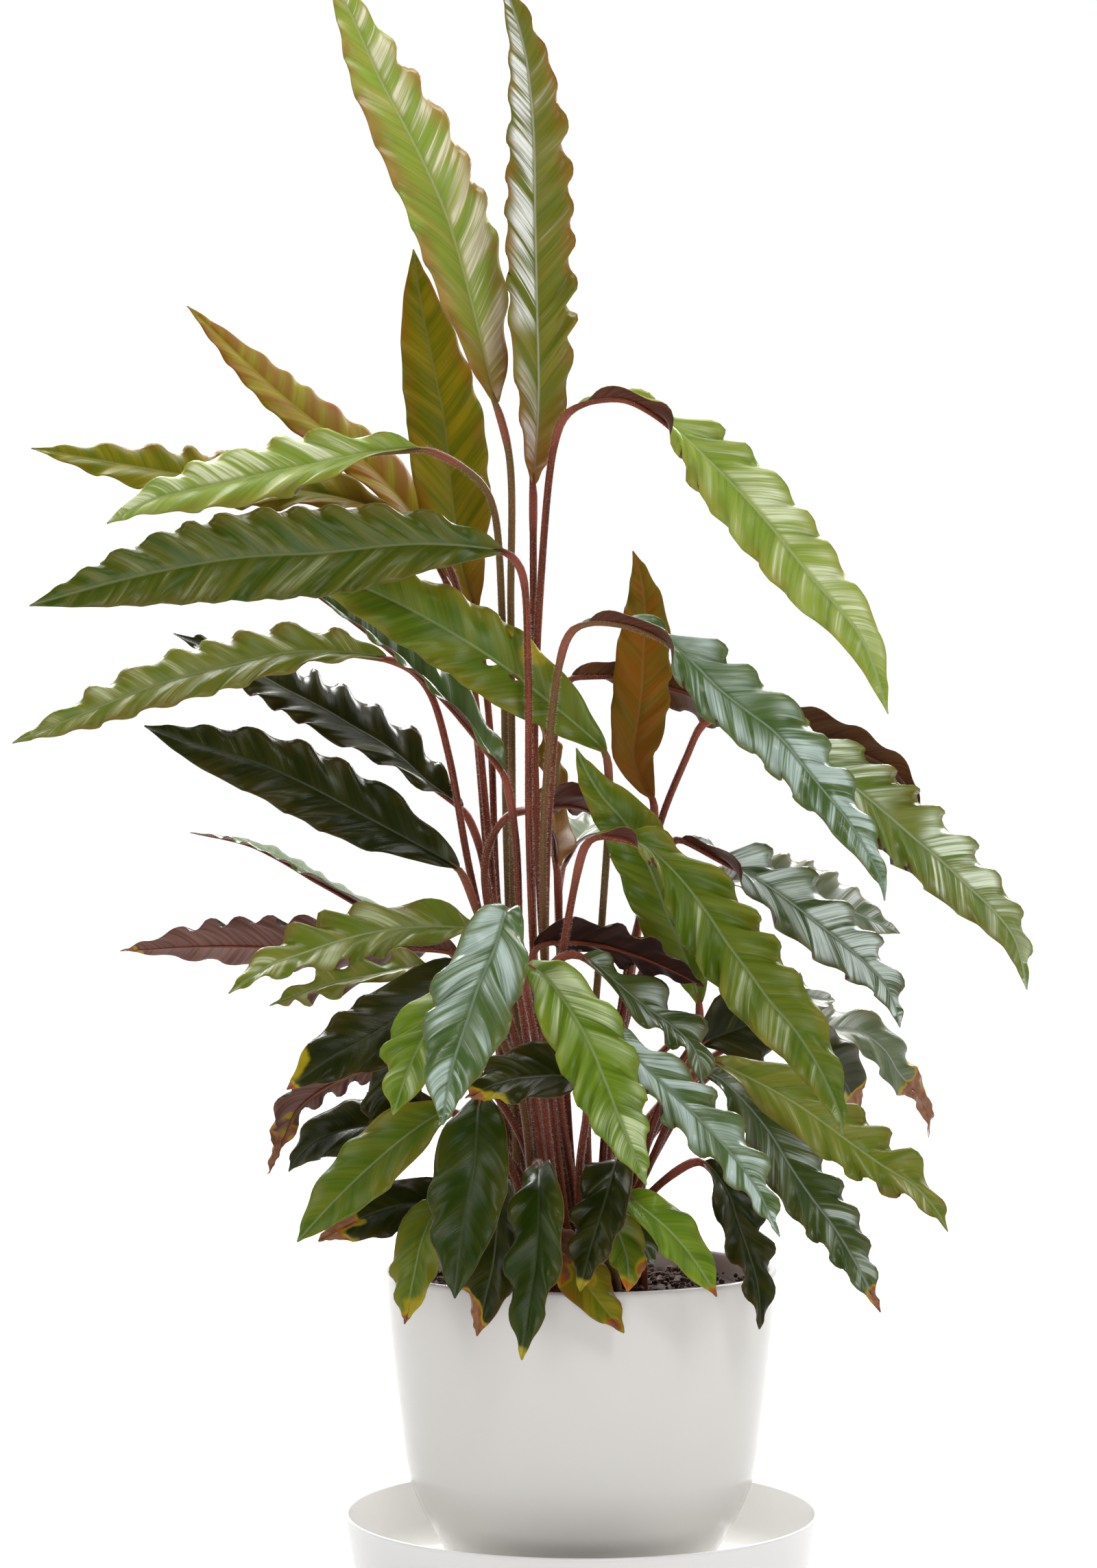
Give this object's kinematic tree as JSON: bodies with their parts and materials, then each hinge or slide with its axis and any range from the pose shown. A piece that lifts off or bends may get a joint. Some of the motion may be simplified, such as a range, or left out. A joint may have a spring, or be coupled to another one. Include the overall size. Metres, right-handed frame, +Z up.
{
  "type": "potted velvet calathea plant",
  "caption": "Velvet calathea with long narrow waved leaves, maroon undersides and hairy maroon stalks, in a round white glazed pot on a white saucer.",
  "frame": {"origin": "centre of the saucer's flat underside, on the surface it stands on", "axes": "+Z up along the pot's axis, the plant's seen side faces -Y, +X to that viewer's right"},
  "size_m": [0.6193, 0.3917, 0.9583],
  "materials": {
    "white_plastic": "satin",
    "white_glaze": "gloss",
    "potting_soil": "matte",
    "velvet_leaf": "satin",
    "dark_leaf": "satin",
    "sheen_leaf": "satin",
    "young_leaf": "satin",
    "withered_leaf": "matte"
  },
  "bodies": {
    "root": {"saucer": "white_plastic", "pot": "white_glaze", "soil": "potting_soil", "leaf_back_pale": "sheen_leaf", "leaf_right_back_pale": "sheen_leaf", "leaf_left_back_upright": "young_leaf", "leaf_right_curled_pale": "sheen_leaf", "leaf_left_edge_on": "velvet_leaf", "leaf_right_white": "sheen_leaf", "leaf_far_left": "velvet_leaf", "leaf_back_upright": "young_leaf", "leaf_right_round_burnt": "dark_leaf", "leaf_left_maroon": "dark_leaf", "leaf_left_dark_back": "dark_leaf", "leaf_right_broad": "dark_leaf", "leaf_left_light": "velvet_leaf", "leaf_centre_narrow": "young_leaf", "leaf_centre_rust": "young_leaf", "leaf_far_right": "sheen_leaf", "leaf_right_brown": "dark_leaf", "leaf_right_glossy": "sheen_leaf", "leaf_tall_left": "velvet_leaf", "leaf_arch_right_top": "velvet_leaf", "leaf_tall_centre": "velvet_leaf", "leaf_left_olive": "velvet_leaf", "leaf_left_dark_broad": "dark_leaf", "leaf_left_small_green": "velvet_leaf", "leaf_left_low_maroon": "dark_leaf", "leaf_left_band": "sheen_leaf", "leaf_centre_orange": "young_leaf", "leaf_centre_holed": "velvet_leaf", "leaf_centre_twisted": "dark_leaf", "leaf_left_low_dark": "dark_leaf", "leaf_left_low_olive": "velvet_leaf", "leaf_left_burnt": "dark_leaf", "leaf_right_low_green": "sheen_leaf", "leaf_left_dark": "velvet_leaf", "leaf_arch_right_middle": "sheen_leaf", "leaf_centre_maroon": "dark_leaf", "leaf_right_narrow": "sheen_leaf", "leaf_right_low_olive": "velvet_leaf", "leaf_arch_right_low": "velvet_leaf", "leaf_left_rim_burnt": "dark_leaf", "leaf_left_low_long": "velvet_leaf", "leaf_left_low_broad": "dark_leaf", "leaf_rim_right_wavy": "dark_leaf", "leaf_rim_blue": "sheen_leaf", "leaf_right_blue": "sheen_leaf", "leaf_left_bright": "velvet_leaf", "leaf_rim_left": "velvet_leaf", "leaf_rim_left_burnt": "dark_leaf", "leaf_rim_dying": "withered_leaf", "leaf_rim_yellow": "velvet_leaf", "leaf_rim_centre_dark": "dark_leaf", "leaf_rim_right_green": "velvet_leaf", "leaf_left_hanging": "dark_leaf", "leaf_centre_band": "dark_leaf", "leaf_centre_hanging": "dark_leaf", "leaf_front_light": "velvet_leaf", "leaf_front_blue": "sheen_leaf"}
  },
  "joints": []
}
